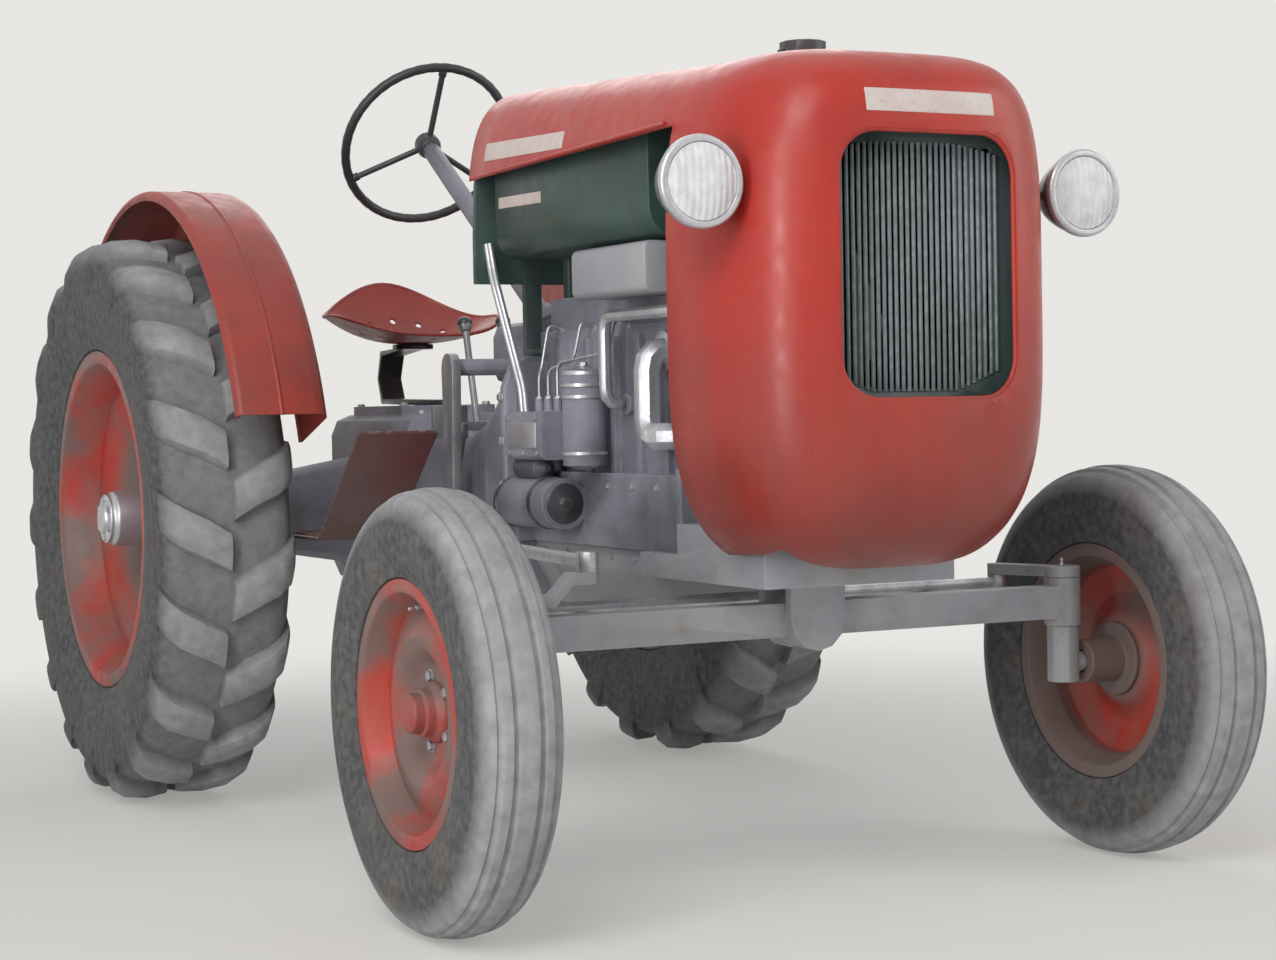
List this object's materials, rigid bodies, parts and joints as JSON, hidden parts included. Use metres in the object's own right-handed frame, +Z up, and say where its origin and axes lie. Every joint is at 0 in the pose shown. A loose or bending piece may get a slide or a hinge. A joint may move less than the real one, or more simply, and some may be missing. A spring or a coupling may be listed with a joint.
{
  "type": "vintage farm tractor",
  "caption": "Small vintage farm tractor with a rounded red bonnet and nose, open engine, lugged rear tyres, fenders and steered front wheels.",
  "frame": {"origin": "on the ground, at the middle of the tractor's length and width", "axes": "+Z up, -Y to the front, +X to the driver's left"},
  "size_m": [1.675, 2.7916, 1.6837],
  "materials": {
    "red_paint": "gloss, sun-faded",
    "dark_paint": "satin",
    "green_black": "satin",
    "cast_grey": "painted casting",
    "silver": "satin",
    "steel": "dull",
    "black": "satin",
    "tyre_rubber": "matt",
    "lens_glass": "clear"
  },
  "bodies": {
    "chassis": {"bonnet": "red_paint", "grille": "green_black", "radiator": "black", "bulkhead": "green_black", "fuel_tank": "green_black", "engine_block": "cast_grey", "cylinder_head": "cast_grey", "sump_casting": "cast_grey", "fan": "steel", "air_cleaner": "silver", "breather_pipe": "silver", "water_elbow": "silver", "gearbox": "cast_grey", "rear_axle_housing": "cast_grey", "front_axle": "steel", "radius_rods": "steel", "steering_column": "steel", "seat_pan": "red_paint", "seat_spring": "steel", "gear_levers": "steel", "drawbar": "steel", "headlamp_shell_right": "black", "headlamp_shell_left": "black", "headlamp_lens_right": "lens_glass", "headlamp_lens_left": "lens_glass", "fender_right": "red_paint", "fender_left": "red_paint", "footplate_right": "dark_paint", "footplate_left": "dark_paint", "pedal_right": "steel", "pedal_left": "steel"},
    "knuckle_right": {"knuckle_right": "steel"},
    "knuckle_left": {"knuckle_left": "steel"},
    "front_wheel_right": {"front_rim_right": "red_paint", "front_tyre_right": "tyre_rubber"},
    "front_wheel_left": {"front_rim_left": "red_paint", "front_tyre_left": "tyre_rubber"},
    "rear_wheel_right": {"rear_rim_right": "red_paint", "rear_tyre_right": "tyre_rubber"},
    "rear_wheel_left": {"rear_rim_left": "red_paint", "rear_tyre_left": "tyre_rubber"},
    "tie_rod": {"tie_rod": "steel"},
    "drag_link": {"drag_link": "steel"},
    "drop_arm": {"drop_arm": "steel"},
    "steering_wheel": {"steering_wheel": "black"}
  },
  "joints": [
    {"name": "rear_roll_right", "type": "hinge", "parent": "chassis", "child": "rear_wheel_right", "pos_m": [-0.6885, 0.7602, 0.6356], "axis": [1, 0, 0], "continuous": true},
    {"name": "rear_roll_left", "type": "hinge", "parent": "chassis", "child": "rear_wheel_left", "pos_m": [0.6885, 0.7602, 0.6356], "axis": [1, 0, 0], "continuous": true},
    {"name": "steer_right", "type": "hinge", "parent": "chassis", "child": "knuckle_right", "pos_m": [-0.57, -0.9698, 0.485], "axis": [0, 0, 1], "range_deg": [-35, 35]},
    {"name": "steer_left", "type": "hinge", "parent": "chassis", "child": "knuckle_left", "pos_m": [0.57, -0.9698, 0.485], "axis": [0, 0, 1], "range_deg": [-35, 35]},
    {"name": "front_roll_right", "type": "hinge", "parent": "knuckle_right", "child": "front_wheel_right", "pos_m": [-0.696, -0.9698, 0.369], "axis": [1, 0, 0], "continuous": true},
    {"name": "front_roll_left", "type": "hinge", "parent": "knuckle_left", "child": "front_wheel_left", "pos_m": [0.696, -0.9698, 0.369], "axis": [1, 0, 0], "continuous": true},
    {"name": "tie_rod_eye", "type": "hinge", "parent": "knuckle_right", "child": "tie_rod", "pos_m": [-0.523, -0.8298, 0.5137], "axis": [0, 0, 1], "range_deg": [-39, 39]},
    {"name": "drag_link_eye", "type": "hinge", "parent": "knuckle_right", "child": "drag_link", "pos_m": [-0.42, -0.9698, 0.6033], "axis": [0, 0, 1], "range_deg": [-36, 36]},
    {"name": "drop_arm_swing", "type": "hinge", "parent": "chassis", "child": "drop_arm", "pos_m": [-0.24, 0.0202, 0.955], "axis": [1, 0, 0], "range_deg": [-15.5, 15.5]},
    {"name": "steering_turn", "type": "hinge", "parent": "chassis", "child": "steering_wheel", "pos_m": [0, 0.7402, 1.505], "axis": [0, 0.8249, 0.5653], "range_deg": [-355, 355]}
  ],
  "couplings": [
    {"joint": "steer_left", "follows": "steer_right", "ratio": 1},
    {"joint": "tie_rod_eye", "follows": "steer_right", "ratio": -1.09},
    {"joint": "drag_link_eye", "follows": "steer_right", "ratio": -1},
    {"joint": "drop_arm_swing", "follows": "steer_right", "ratio": 0.4265},
    {"joint": "steering_turn", "follows": "steer_right", "ratio": 10}
  ]
}
